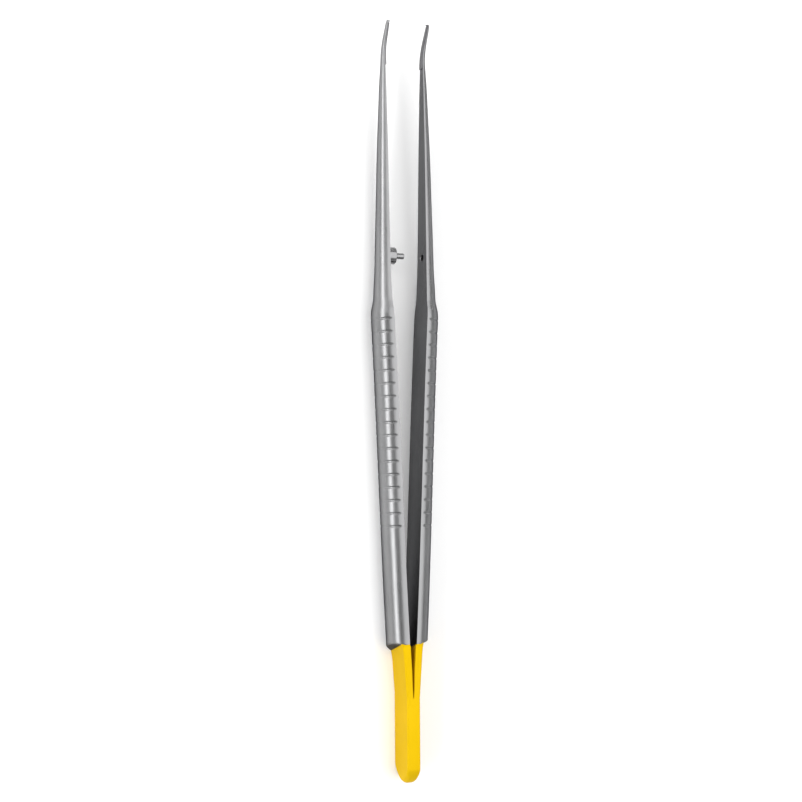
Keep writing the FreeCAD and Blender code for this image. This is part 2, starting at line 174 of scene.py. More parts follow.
def spaced(start, end, step):
    """Numbers from start to end, evenly spaced by about step."""
    count = max(1, round((end - start) / step))
    return [start + (end - start) * each / count for each in range(count + 1)]


def through(table, at):
    """A curve through the table's points that never overshoots them."""
    if at <= table[0][0]:
        return table[0][1]
    if at >= table[-1][0]:
        return table[-1][1]
    slopes = [
        (after[1] - before[1]) / (after[0] - before[0])
        for before, after in zip(table, table[1:])
    ]
    leans = [slopes[0]]
    for before, after in zip(slopes, slopes[1:]):
        leans.append(0.0 if before * after <= 0 else 2 * before * after / (before + after))
    leans.append(slopes[-1])
    spot = max(each for each in range(len(slopes)) if table[each][0] <= at)
    span = table[spot + 1][0] - table[spot][0]
    part = (at - table[spot][0]) / span
    rest = 1 - part
    return (
        table[spot][1] * (1 + 2 * part) * rest * rest
        + leans[spot] * span * part * rest * rest
        + table[spot + 1][1] * (3 - 2 * part) * part * part
        - leans[spot + 1] * span * part * part * rest
    )


def jaw_point(ahead, across, out):
    """A point of the right jaw at rest: ahead of the start of the bend, across the jaw and
    out from the plane where the jaws meet."""
    turned = min(max(ahead / BEND_RADIUS, 0.0), BEND_TURN)
    straight = max(0.0, ahead - BEND_END)
    side = BEND_RADIUS - across
    forward = BEND_AT + min(ahead, 0.0) + side * math.sin(turned) + straight * math.cos(turned)
    rise = BEND_RADIUS - side * math.cos(turned) + straight * math.sin(turned)
    return (
        out * math.cos(OPENING) + forward * math.sin(OPENING),
        ROOT + forward * math.cos(OPENING) - out * math.sin(OPENING),
        rise,
    )


def placed(point):
    """From distance, station and height above the arm's axis to the row frame, in metres."""
    return Vector((point[0], point[1] + BUTT, point[2] + AXIS_HEIGHT)) * MM


def add_object(name, mesh):
    piece = bpy.data.objects.new(name, mesh)
    bpy.context.scene.collection.objects.link(piece)
    return piece


def make_mesh(name, points, faces, edges=()):
    mesh = bpy.data.meshes.new(name)
    mesh.from_pydata([placed(each) for each in points], list(edges), faces)
    mesh.update()
    return mesh


def add_attribute(mesh, name, values):
    layer = mesh.attributes.new(name, "FLOAT", "POINT")
    layer.data.foreach_set("value", values)


def loft(rings):
    """Points and faces of a closed shell through rings of equally many points."""
    count = len(rings[0])
    points = [point for ring in rings for point in ring]
    faces = []
    for row in range(len(rings) - 1):
        for step in range(count):
            after = (step + 1) % count
            low = row * count
            high = low + count
            faces.append((low + step, low + after, high + after, high + step))
    faces.append(tuple(range(count))[::-1])
    faces.append(tuple(range(len(points) - count, len(points))))
    return points, faces


def face_outwards(mesh):
    """Merges doubles and turns all faces outwards."""
    shape = bmesh.new()
    shape.from_mesh(mesh)
    bmesh.ops.remove_doubles(shape, verts=shape.verts, dist=1e-7)
    bmesh.ops.recalc_face_normals(shape, faces=shape.faces)
    shape.to_mesh(mesh)
    shape.free()


def soften(mesh, angle=35.0):
    """Smooth shading, with edges sharper than the angle kept sharp."""
    mesh.shade_smooth()
    mesh.set_sharp_from_angle(angle=math.radians(angle))


def mirrored(piece, name):
    """The left arm's copy of a piece of the right arm."""
    mesh = piece.data.copy()
    mesh.transform(Matrix.Scale(-1, 4, Vector((1, 0, 0))))
    face_outwards(mesh)
    mesh.name = name
    return add_object(name, mesh)


def add_node(tree, kind, **settings):
    node = tree.nodes.new(kind)
    for name, value in settings.items():
        setattr(node, name, value)
    return node


def feed(tree, socket, value):
    """Links a socket to another, or sets it to a plain value."""
    if isinstance(value, bpy.types.NodeSocket):
        tree.links.new(value, socket)
    else:
        socket.default_value = value


def calculate(tree, operation, *values):
    node = add_node(tree, "ShaderNodeMath", operation=operation)
    for socket, value in zip(node.inputs, values):
        feed(tree, socket, value)
    return node.outputs[0]


def ease(tree, value, low, high, start, end):
    """The value's place between low and high, as a smooth step from start to end."""
    node = add_node(tree, "ShaderNodeMapRange", interpolation_type="SMOOTHSTEP")
    for socket, given in zip(node.inputs, (value, low, high, start, end)):
        feed(tree, socket, given)
    return node.outputs[0]


def read_attribute(tree, name):
    node = add_node(tree, "GeometryNodeInputNamedAttribute", data_type="FLOAT")
    node.inputs["Name"].default_value = name
    return node.outputs["Attribute"]


def start_tree(name, inputs):
    """A geometry tree with its named inputs, and the output sockets of its group input."""
    tree = bpy.data.node_groups.new(name, "GeometryNodeTree")
    tree.interface.new_socket("Geometry", in_out="INPUT", socket_type="NodeSocketGeometry")
    tree.interface.new_socket("Geometry", in_out="OUTPUT", socket_type="NodeSocketGeometry")
    for label, kind in inputs:
        tree.interface.new_socket(label, in_out="INPUT", socket_type=kind)
    given = add_node(tree, "NodeGroupInput")
    return tree, given.outputs


def end_tree(tree, geometry, material):
    """Closes a tree with Realize Instances and Set Material."""
    real = add_node(tree, "GeometryNodeRealizeInstances")
    tree.links.new(geometry, real.inputs["Geometry"])
    paint = add_node(tree, "GeometryNodeSetMaterial")
    tree.links.new(real.outputs["Geometry"], paint.inputs["Geometry"])
    tree.links.new(material, paint.inputs["Material"])
    result = add_node(tree, "NodeGroupOutput")
    tree.links.new(paint.outputs["Geometry"], result.inputs["Geometry"])


def push(tree, geometry, distance):
    """Moves each point along its normal."""
    normal = add_node(tree, "GeometryNodeInputNormal")
    scaled = add_node(tree, "ShaderNodeVectorMath", operation="SCALE")
    tree.links.new(normal.outputs["Normal"], scaled.inputs[0])
    tree.links.new(distance, scaled.inputs["Scale"])
    moved = add_node(tree, "GeometryNodeSetPosition")
    tree.links.new(geometry, moved.inputs["Geometry"])
    tree.links.new(scaled.outputs[0], moved.inputs["Offset"])
    return moved.outputs["Geometry"]


def half_round_tree():
    """Sweeps a half round section along a rail and cuts the grip grooves into its round side.
    The rail carries the attributes half_width and station, both in millimetres."""
    number = "NodeSocketFloat"
    tree, given = start_tree(
        "half_round_arm",
        [
            ("Section Points", "NodeSocketInt"),
            ("Edge Rounding", number),
            ("Front Groove", number),
            ("Groove Pitch", number),
            ("Groove Count", number),
            ("Groove Width", number),
            ("Groove Depth", number),
            ("Fade Start", number),
            ("Fade End", number),
            ("Outer Share", number),
            ("Material", "NodeSocketMaterial"),
        ],
    )
    rail = add_node(tree, "GeometryNodeMeshToCurve")
    tree.links.new(given["Geometry"], rail.inputs["Mesh"])
    upright = add_node(tree, "GeometryNodeSetCurveNormal", mode="Z_UP")
    tree.links.new(rail.outputs["Curve"], upright.inputs["Curve"])
    circle = add_node(tree, "GeometryNodeCurvePrimitiveCircle", mode="RADIUS")
    tree.links.new(given["Section Points"], circle.inputs["Resolution"])
    circle.inputs["Radius"].default_value = 1.0
    place = add_node(tree, "GeometryNodeInputPosition")
    parts = add_node(tree, "ShaderNodeSeparateXYZ")
    tree.links.new(place.outputs["Position"], parts.inputs[0])
    marked = add_node(
        tree, "GeometryNodeStoreNamedAttribute", data_type="FLOAT", domain="POINT"
    )
    marked.inputs["Name"].default_value = "outward"
    tree.links.new(circle.outputs["Curve"], marked.inputs["Geometry"])
    tree.links.new(parts.outputs["X"], marked.inputs["Value"])
    flat = calculate(tree, "SMOOTH_MAX", parts.outputs["X"], 0.0, given["Edge Rounding"])
    joined = add_node(tree, "ShaderNodeCombineXYZ")
    tree.links.new(flat, joined.inputs["X"])
    tree.links.new(parts.outputs["Y"], joined.inputs["Y"])
    section = add_node(tree, "GeometryNodeSetPosition")
    tree.links.new(marked.outputs["Geometry"], section.inputs["Geometry"])
    tree.links.new(joined.outputs[0], section.inputs["Position"])
    sweep = add_node(tree, "GeometryNodeCurveToMesh")
    tree.links.new(upright.outputs["Curve"], sweep.inputs["Curve"])
    tree.links.new(section.outputs["Geometry"], sweep.inputs["Profile Curve"])
    scale = calculate(tree, "MULTIPLY", read_attribute(tree, "half_width"), MM)
    tree.links.new(scale, sweep.inputs["Scale"])
    sweep.inputs["Fill Caps"].default_value = True

    station = read_attribute(tree, "station")
    behind = calculate(tree, "SUBTRACT", given["Front Groove"], station)
    groove = calculate(tree, "ROUND", calculate(tree, "DIVIDE", behind, given["Groove Pitch"]))
    last = calculate(tree, "SUBTRACT", given["Groove Count"], 1.0)
    groove = calculate(tree, "MINIMUM", calculate(tree, "MAXIMUM", groove, 0.0), last)
    middle = calculate(tree, "MULTIPLY", groove, given["Groove Pitch"])
    away = calculate(tree, "ABSOLUTE", calculate(tree, "SUBTRACT", behind, middle))
    half = calculate(tree, "MULTIPLY", given["Groove Width"], 0.5)
    cut = ease(tree, away, 0.0, half, 1.0, 0.0)
    round_side = read_attribute(tree, "outward")
    reach = ease(
        tree,
        round_side,
        calculate(tree, "COSINE", given["Fade End"]),
        calculate(tree, "COSINE", given["Fade Start"]),
        0.0,
        1.0,
    )
    outer = ease(tree, round_side, *GROOVE_FADE, 1.0, given["Outer Share"])
    reach = calculate(tree, "MULTIPLY", reach, outer)
    depth = calculate(tree, "MULTIPLY", given["Groove Depth"], -MM)
    sunk = calculate(tree, "MULTIPLY", depth, calculate(tree, "MULTIPLY", cut, reach))
    grooved = push(tree, sweep.outputs["Mesh"], sunk)
    end_tree(tree, grooved, given["Material"])
    return tree


def cross_cut_tree():
    """Small pyramids on the face of a hard insert, which carries the attributes ahead, across
    and on_face."""
    number = "NodeSocketFloat"
    tree, given = start_tree(
        "cross_cut", [("Pitch", number), ("Depth", number), ("Material", "NodeSocketMaterial")]
    )
    ahead = read_attribute(tree, "ahead")
    across = read_attribute(tree, "across")
    heights = []
    for way in ("ADD", "SUBTRACT"):
        slanted = calculate(tree, "DIVIDE", calculate(tree, way, ahead, across), given["Pitch"])
        heights.append(calculate(tree, "PINGPONG", slanted, 0.5))
    lower = calculate(tree, "MINIMUM", heights[0], heights[1])
    sunk = calculate(tree, "MULTIPLY_ADD", lower, 2.0, -1.0)
    depth = calculate(tree, "MULTIPLY", given["Depth"], MM)
    sunk = calculate(tree, "MULTIPLY", sunk, depth)
    sunk = calculate(tree, "MULTIPLY", sunk, read_attribute(tree, "on_face"))
    end_tree(tree, push(tree, given["Geometry"], sunk), given["Material"])
    return tree


def grow(piece, tree, inputs):
    """Runs a tree on a piece with these inputs and keeps the result as its plain mesh."""
    modifier = piece.modifiers.new(tree.name, "NODES")
    modifier.node_group = tree
    sockets = {
        item.name: item.identifier
        for item in tree.interface.items_tree
        if item.item_type == "SOCKET" and item.in_out == "INPUT"
    }
    for name, value in inputs.items():
        modifier[sockets[name]] = value
    bpy.context.view_layer.update()
    graph = bpy.context.evaluated_depsgraph_get()
    mesh = bpy.data.meshes.new_from_object(piece.evaluated_get(graph))
    piece.modifiers.remove(modifier)
    mesh.name = piece.name
    piece.data = mesh
    for name in ("half_width", "station", "outward", "ahead", "across", "on_face"):
        if name in mesh.attributes:
            mesh.attributes.remove(mesh.attributes[name])
    return piece


def object_place(tree, scale, place=(0.0, 0.0, 0.0)):
    """Object coordinates, scaled in the three directions and moved."""
    source = add_node(tree, "ShaderNodeTexCoord")
    mapping = add_node(tree, "ShaderNodeMapping", vector_type="POINT")
    mapping.inputs["Location"].default_value = place
    mapping.inputs["Scale"].default_value = scale
    tree.links.new(source.outputs["Object"], mapping.inputs["Vector"])
    return mapping.outputs["Vector"]


def noise(tree, vector, detail=3.0, roughness=0.5):
    node = add_node(tree, "ShaderNodeTexNoise")
    node.inputs["Scale"].default_value = 1.0
    node.inputs["Detail"].default_value = detail
    node.inputs["Roughness"].default_value = roughness
    tree.links.new(vector, node.inputs["Vector"])
    return node.outputs["Fac"]


def scaled_range(tree, value, low, high):
    """Spreads a noise, which stays near its middle, over the range from low to high."""
    node = add_node(tree, "ShaderNodeMapRange")
    for socket, given in zip(node.inputs, (value, 0.3, 0.7, low, high)):
        feed(tree, socket, given)
    return node.outputs[0]


def cloudy_tone(tree, cloud, first, second):
    """A colour that drifts between two with a noise."""
    node = add_node(tree, "ShaderNodeMix", data_type="RGBA")
    feed(tree, node.inputs["Factor"], scaled_range(tree, cloud, 0.0, 1.0))
    feed(tree, node.inputs[6], (*first, 1.0))
    feed(tree, node.inputs[7], (*second, 1.0))
    return node.outputs[2]


def start_material(name):
    material = bpy.data.materials.new(name)
    material.use_nodes = True
    return material, material.node_tree, material.node_tree.nodes["Principled BSDF"]


def bump(tree, shader, height, strength, distance):
    node = add_node(tree, "ShaderNodeBump")
    node.inputs["Strength"].default_value = strength
    node.inputs["Distance"].default_value = distance
    tree.links.new(height, node.inputs["Height"])
    tree.links.new(node.outputs["Normal"], shader.inputs["Normal"])


def satin_steel():
    """Stainless steel, finely brushed along the instrument."""
    material, tree, shader = start_material("satin_steel")
    shader.inputs["Metallic"].default_value = 1.0
    grain = noise(tree, object_place(tree, (6000.0, 90.0, 6000.0)), detail=4.0, roughness=0.6)
    cloud = noise(tree, object_place(tree, (260.0, 70.0, 260.0)), detail=3.0)
    tone = cloudy_tone(tree, cloud, (0.245, 0.246, 0.25), (0.285, 0.286, 0.29))
    tree.links.new(tone, shader.inputs["Base Color"])
    shader.inputs["Specular Tint"].default_value = (0.14, 0.14, 0.15, 1.0)
    rough = calculate(
        tree, "ADD", scaled_range(tree, grain, 0.26, 0.36), scaled_range(tree, cloud, -0.02, 0.03)
    )
    tree.links.new(rough, shader.inputs["Roughness"])
    bump(tree, shader, grain, 0.07, 0.00002)
    return material


def gold_plating():
    """Satin gold plating, evenly blasted."""
    material, tree, shader = start_material("gold_plating")
    shader.inputs["Metallic"].default_value = 0.3
    shader.inputs["IOR"].default_value = 1.04
    grain = noise(tree, object_place(tree, (5200.0, 5200.0, 5200.0)), detail=3.0)
    cloud = noise(tree, object_place(tree, (150.0, 90.0, 150.0)), detail=2.0)
    tone = cloudy_tone(tree, cloud, (0.69, 0.44, 0.004), (0.73, 0.465, 0.006))
    tree.links.new(tone, shader.inputs["Base Color"])
    tree.links.new(scaled_range(tree, grain, 0.4, 0.5), shader.inputs["Roughness"])
    bump(tree, shader, grain, 0.1, 0.00002)
    return material


def pin_steel(axis_station):
    """Turned steel, with fine rings about the pin's axis."""
    material, tree, shader = start_material("pin_steel")
    shader.inputs["Metallic"].default_value = 1.0
    to_axis = (0.0, -(axis_station + BUTT) * MM, -AXIS_HEIGHT * MM)
    rings = add_node(tree, "ShaderNodeTexWave", wave_type="RINGS", rings_direction="X")
    rings.inputs["Scale"].default_value = 1400.0
    rings.inputs["Distortion"].default_value = 0.6
    tree.links.new(object_place(tree, (1.0, 1.0, 1.0), to_axis), rings.inputs["Vector"])
    cloud = noise(tree, object_place(tree, (900.0, 900.0, 900.0)), detail=3.0)
    tone = cloudy_tone(tree, cloud, (0.24, 0.24, 0.245), (0.3, 0.3, 0.305))
    tree.links.new(tone, shader.inputs["Base Color"])
    tree.links.new(scaled_range(tree, cloud, 0.2, 0.3), shader.inputs["Roughness"])
    bump(tree, shader, rings.outputs["Fac"], 0.15, 0.00001)
    return material


def hard_insert():
    """Dark hard metal, finely ground."""
    material, tree, shader = start_material("hard_insert")
    shader.inputs["Metallic"].default_value = 0.9
    grain = noise(tree, object_place(tree, (9000.0, 9000.0, 9000.0)), detail=3.0)
    tone = cloudy_tone(tree, grain, (0.1, 0.1, 0.105), (0.17, 0.17, 0.178))
    tree.links.new(tone, shader.inputs["Base Color"])
    tree.links.new(scaled_range(tree, grain, 0.34, 0.46), shader.inputs["Roughness"])
    bump(tree, shader, grain, 0.2, 0.00002)
    return material


def facet_station(x, z):
    """Where a handle's slanted rear face lies at a distance and height."""
    return FACET_AT + FACET_LEAN * max(x, FACET_FROM) + FACET_RISE * z


def arm_rows():
    """Stations of the arm's sections before the jaw, dense at the facet, grooves and shoulder."""
    rows = spaced(29.0, 36.0, 0.14) + spaced(38.0, 58.0, 2.0)
    reach = GROOVE_WIDTH / 2 + 0.05
    for groove in range(GROOVES):
        middle = GROOVE_FRONT - GROOVE_PITCH * groove
        rows += spaced(middle - reach, middle + reach, 0.09)
        rows += [middle - 0.62, middle - 1.1, middle - 1.95]
    rows += spaced(110.1, 118.0, 0.16) + spaced(119.2, 166.0, 1.2)
    return sorted(rows)


def arm_path():
    """Points of the arm's rail and their stations, from the handle's rear to the tip."""
    path = [((through(FLAT, station), station, 0.0), station) for station in arm_rows()]
    aheads = spaced(-4.3, -0.4, 0.35) + spaced(-0.2, BEND_END + 0.2, 0.2)
    aheads += spaced(BEND_END + 0.45, TIP_END - 0.35, 0.3) + spaced(TIP_END - 0.3, TIP_END, 0.06)
    bend_station = jaw_point(0.0, 0.0, TIP_GAP)[1]
    for ahead in aheads:
        out = TIP_GAP + JAW_LEAN * max(0.0, -ahead)
        path.append((jaw_point(ahead, 0.0, out), bend_station + ahead))
    return path


def make_arm(tree, material):
    """The right arm's handle, shank and jaw."""
    path = arm_path()
    points = [point for point, _ in path]
    stations = [station for _, station in path]
    edges = [(step, step + 1) for step in range(len(points) - 1)]
    mesh = make_mesh("right_handle_and_shank", points, [], edges)
    widths = []
    for station in stations:
        nose = max(0.0, 1 - (stations[-1] - station) / NOSE_LENGTH)
        widths.append(through(RADIUS, station) * math.sqrt(1 - NOSE_LOSS * nose * nose))
    add_attribute(mesh, "half_width", widths)
    add_attribute(mesh, "station", stations)
    arm = add_object("right_handle_and_shank", mesh)
    inputs = {
        "Section Points": 96,
        "Edge Rounding": 0.1,
        "Front Groove": GROOVE_FRONT,
        "Groove Pitch": GROOVE_PITCH,
        "Groove Count": float(GROOVES),
        "Groove Width": GROOVE_WIDTH,
        "Groove Depth": GROOVE_DEPTH,
        "Fade Start": math.radians(70.0),
        "Fade End": math.radians(84.0),
        "Outer Share": 0.35,
        "Material": material,
    }
    grow(arm, tree, inputs)
    cut_facet(arm.data)
    return arm


def cut_facet(mesh):
    """Cuts the handle off at its slanted rear faces and rounds the rim of the cut."""
    normals = [
        Vector((-FACET_LEAN, 1.0, -FACET_RISE)).normalized(),
        Vector((0.0, 1.0, -FACET_RISE)).normalized(),
    ]
    origin = placed((FACET_FROM, FACET_AT + FACET_LEAN * FACET_FROM, 0.0))
    shape = bmesh.new()
    shape.from_mesh(mesh)
    shape.normal_update()
    for point in shape.verts:
        depth = min((point.co - origin).dot(normal) for normal in normals) / MM
        if depth < FACET_ROUND:
            left = FACET_ROUND - max(0.0, depth)
            inset = FACET_ROUND - math.sqrt(FACET_ROUND**2 - left**2)
            point.co -= point.normal * (inset * MM)
    for normal in normals:
        everything = shape.verts[:] + shape.edges[:] + shape.faces[:]
        cut = bmesh.ops.bisect_plane(
            shape, geom=everything, plane_co=origin, plane_no=normal, clear_inner=True
        )
        rim = [each for each in cut["geom_cut"] if isinstance(each, bmesh.types.BMEdge)]
        bmesh.ops.holes_fill(shape, edges=rim, sides=0)
    bmesh.ops.recalc_face_normals(shape, faces=shape.faces)
    shape.to_mesh(mesh)
    shape.free()


def corner(x, z, start, radius, steps):
    """Points of a rounded corner about x and z, over a quarter turn from start degrees."""
    angles = [math.radians(start + 90 * each / steps) for each in range(steps + 1)]
    return [(x + radius * math.cos(each), z + radius * math.sin(each)) for each in angles]


def leaf_section(thick):
    """Outline of a leaf spring, square to the instrument, from its inner lower corner."""
    small = SLOT_ROUND
    big = EDGE_ROUND
    top = HALF_WIDTH
    rim = corner(small, -top + small, 180, small, 3)
    rim += [(x, -top) for x in spaced(small + 0.08, thick - big - 0.08, 0.3)]
    rim += corner(thick - big, -top + big, 270, big, 7)
    rim += [(thick, z) for z in spaced(-top + big + 0.06, top - big - 0.06, 0.4)]
    rim += corner(thick - big, top - big, 0, big, 7)
    rim += [(x, top) for x in spaced(thick - big - 0.08, small + 0.08, -0.3)]
    rim += corner(small, top - small, 90, small, 3)
    rim += [(0.0, z) for z in spaced(top - small - 0.06, -top + small + 0.06, -1.2)]
    return rim


def leaf_point(across, z, thick, station):
    """A point of the leaf's outline, flared before the facet and tucked in under the handle."""
    flare_length = 2.4
    tuck_length = 2.0
    inner = through(FLAT, station)
    part = across / thick
    x = inner + across
    left = facet_station(x, z) - station
    swell = min(1.0, max(0.0, 1 - left / flare_length))
    x += LEAF_FLARE * swell**2.2 * smoothstep((part - 0.35) / 0.5)
    handle = through(RADIUS, station)
    top = math.sqrt(max(0.1, handle**2 - (x - inner) ** 2)) - HIDDEN
    if abs(z) > top:
        z += (math.copysign(top, z) - z) * smoothstep(1 - left / tuck_length)
    extra = LEAF_EXTRA * smoothstep((station - 22) / 6) * smoothstep(left / 0.35)
    hidden = 2 * HIDDEN * smoothstep(-left / 0.3)
    x += (hidden - extra) * (1 - part)
    return x, station, z


def make_spring(material):
    """The right leaf spring, which goes on inside the handle."""
    root_thick = TAIL_HALF - SLOT_HALF
    rings = []
    for station in spaced(ROOT, SPRING_END, 0.3):
        share = min(1.0, (station - ROOT) / (LEAF_FULL - ROOT))
        thick = root_thick + (LEAF_THICK - root_thick) * share
        outline = leaf_section(thick)
        rings.append([leaf_point(across, z, thick, station) for across, z in outline])
    points, faces = loft(rings)
    mesh = make_mesh("right_leaf_spring", points, faces)
    face_outwards(mesh)
    mesh.materials.append(material)
    return add_object("right_leaf_spring", mesh)


def tail_ring(side, turn, inset):
    """Outline of the tail at a turn of its rounded edge, which is rounder at the butt. The
    inset draws the outline in for the middle of a flat side."""

    def edge(radius):
        across = side * (TAIL_HALF - radius + radius * math.cos(turn))
        return across, HALF_WIDTH - radius + radius * math.sin(turn) - inset

    across, half = edge(EDGE_ROUND)
    stations = (ROOT, 16.0, 12.0, 8.0)
    ring = [(across, station, -half) for station in stations]
    last = [(across, station, half) for station in stations[::-1]]
    steps = 48
    for each in range(steps + 1):
        angle = math.pi * each / steps
        share = smoothstep(math.sin(angle) / 0.9)
        across, half = edge(EDGE_ROUND + (BUTT_ROUND - EDGE_ROUND) * share)
        ring.append((across, HALF_WIDTH - half * math.sin(angle), -half * math.cos(angle)))
    return ring + last


def make_tail(material):
    """The welded tail with its round butt and softened edges."""
    turns = [math.radians(each) for each in range(0, 91, 10)]
    rings = [tail_ring(-1, 0.0, 0.06)]
    rings += [tail_ring(-1, turn, 0.0) for turn in turns]
    rings += [tail_ring(1, turn, 0.0) for turn in turns[::-1]]
    rings.append(tail_ring(1, 0.0, 0.06))
    points, faces = loft(rings)
    mesh = make_mesh("gold_tail", points, faces)
    face_outwards(mesh)
    mesh.materials.append(material)
    soften(mesh, 40.0)
    return add_object("gold_tail", mesh)


def turned(name, profile, x, station, material=None):
    """A turned piece about an axis along X. Its profile is distance along the axis, radius."""
    count = 72
    rings = []
    for along, radius in profile:
        ring = []
        for step in range(count):
            angle = 2 * math.pi * step / count
            ring.append(
                (x + along, station + radius * math.cos(angle), radius * math.sin(angle))
            )
        rings.append(ring)
    points, faces = loft(rings)
    mesh = make_mesh(name, points, faces)
    face_outwards(mesh)
    if material:
        mesh.materials.append(material)
    return add_object(name, mesh)


def rounded(along, radius, size, start, steps=5):
    """Profile points of a rounded edge about along and radius, over a quarter turn."""
    angles = [math.radians(start - 90 * each / steps) for each in range(steps + 1)]
    return [(along + size * math.cos(each), radius + size * math.sin(each)) for each in angles]


def make_guide_pin(station, tip, material):
    """The boss and its thin guide pin, which point from the left arm to the right."""
    base = -through(FLAT, station) - tip
    boss = -PIN_LENGTH
    boss_edge = 0.14
    pin_edge = 0.18
    profile = [(base - 0.4, BOSS_RADIUS), (base, BOSS_RADIUS), (boss - 0.5, BOSS_RADIUS)]
    profile += rounded(boss - boss_edge, BOSS_RADIUS - boss_edge, boss_edge, 90)
    profile += [(boss, 0.98), (boss + 0.03, 0.86), (boss + 0.1, 0.75)]
    profile += [(boss + 0.2, PIN_RADIUS), (-1.0, PIN_RADIUS), (-0.3, PIN_RADIUS)]
    profile += rounded(-pin_edge, PIN_RADIUS - pin_edge, pin_edge, 90)
    profile += [(0.0, 0.3), (0.0, 0.02)]
    pin = turned("turned_guide_pin", profile, tip, station, material)
    soften(pin.data, 40.0)
    return pin


def bore_guide_hole(arm, station):
    """The blind hole that the guide pin enters, with a fine countersink."""
    sink = 0.07
    above = 0.3
    rim = HOLE_RADIUS + sink
    profile = [(-above, 0.02), (-above, rim + above), (0.0, rim), (sink, HOLE_RADIUS)]
    profile += [(HOLE_DEPTH / 2, HOLE_RADIUS), (HOLE_DEPTH - 0.05, HOLE_RADIUS)]
    profile += [(HOLE_DEPTH, HOLE_RADIUS - sink), (HOLE_DEPTH, 0.02)]
    cutter = turned("hole_cutter", profile, through(FLAT, station), station)
    modifier = arm.modifiers.new("hole", "BOOLEAN")
    modifier.operation = "DIFFERENCE"
    modifier.solver = "EXACT"
    modifier.object = cutter
    bpy.context.view_layer.update()
    graph = bpy.context.evaluated_depsgraph_get()
    mesh = bpy.data.meshes.new_from_object(arm.evaluated_get(graph))
    arm.modifiers.remove(modifier)
    mesh.name = arm.name
    arm.data = mesh
    bpy.data.objects.remove(cutter)


def insert_half_width(ahead):
    """An insert tapers from its rear to its front."""
    share = (ahead - INSERT_REAR) / (INSERT_FRONT - INSERT_REAR)
    return INSERT_HALF - INSERT_LOSS * share


def make_insert(name, side, tree, material, teeth):
    """A hard insert: its cross cut plate, the low step in front of it and its pointed teeth."""
    chamfer = 0.06
    rear_round = 0.5
    rear_loss = 0.38
    ramp_length = 0.3
    across_steps = 26
    rings = []
    marks = {"ahead": [], "across": [], "on_face": []}
    for ahead in spaced(INSERT_REAR, INSERT_FRONT, 0.06):
        begun = ahead - INSERT_REAR
        rear = max(0.0, 1 - begun / rear_round)
        half = insert_half_width(ahead) * (1 - rear_loss * (1 - math.sqrt(1 - rear * rear)))
        ramp = max(0.0, 1 - begun / ramp_length)
        face = INSERT_FACE + ramp_length * (1 - math.sqrt(1 - ramp * ramp))
        inner = half - chamfer
        outline = [(-half, INSERT_BACK), (-half, face + chamfer)]
        for each in range(across_steps + 1):
            outline.append((-inner + 2 * inner * each / across_steps, face))
        outline += [(half, face + chamfer), (half, INSERT_BACK)]
        rings.append([jaw_point(ahead, across, out) for across, out in outline])
        ends = min(1.0, max(0.0, begun / ramp_length - 1), (INSERT_FRONT - ahead) / 0.15)
        for number, (across, _) in enumerate(outline):
            marks["ahead"].append(ahead)
            marks["across"].append(across)
            marks["on_face"].append(ends if 2 < number < across_steps + 2 else 0.0)
    points, faces = loft(rings)
    mesh = make_mesh(name, points, faces)
    for attribute, values in marks.items():
        add_attribute(mesh, attribute, values)
    face_outwards(mesh)
    plate = add_object(name, mesh)
    grow(plate, tree, {"Pitch": 0.34, "Depth": 0.05, "Material": material})
    shape = bmesh.new()
    shape.from_mesh(plate.data)
    add_block(shape, INSERT_FRONT - 0.05, TIP_END, -STEP_HALF, STEP_HALF, STEP_TOP, 0.8)
    for low, high in teeth:
        add_block(shape, TIP_END - TOOTH_LENGTH, TIP_END - 0.01, low, high, TOOTH_TOP, 0.45)
    shape.to_mesh(plate.data)
    shape.free()
    if side < 0:
        plate.data.transform(Matrix.Scale(-1, 4, Vector((1, 0, 0))))
    face_outwards(plate.data)
    soften(plate.data, 50.0)
    return plate


def add_block(shape, start, end, low, high, top, narrowing):
    """A block on the jaw with rounded edges, whose top is so much narrower than its foot."""
    middle = (low + high) / 2
    corners = []
    for out, part in ((INSERT_BACK, 1.0), (top, narrowing)):
        front = start + (end - start) * (0.5 + 0.5 * part)
        rear = start + (end - start) * (0.5 - 0.5 * part)
        for ahead, across in ((rear, low), (front, low), (front, high), (rear, high)):
            corners.append(jaw_point(ahead, middle + (across - middle) * part, out))
    points = [shape.verts.new(placed(each)) for each in corners]
    sides = [(0, 1, 2, 3), (4, 5, 6, 7), (0, 1, 5, 4), (1, 2, 6, 5), (2, 3, 7, 6), (3, 0, 4, 7)]
    faces = [shape.faces.new([points[each] for each in side]) for side in sides]
    edges = list({edge for face in faces for edge in face.edges})
    bmesh.ops.bevel(
        shape, geom=edges, offset=0.04 * MM, segments=3, profile=0.5, affect="EDGES"
    )


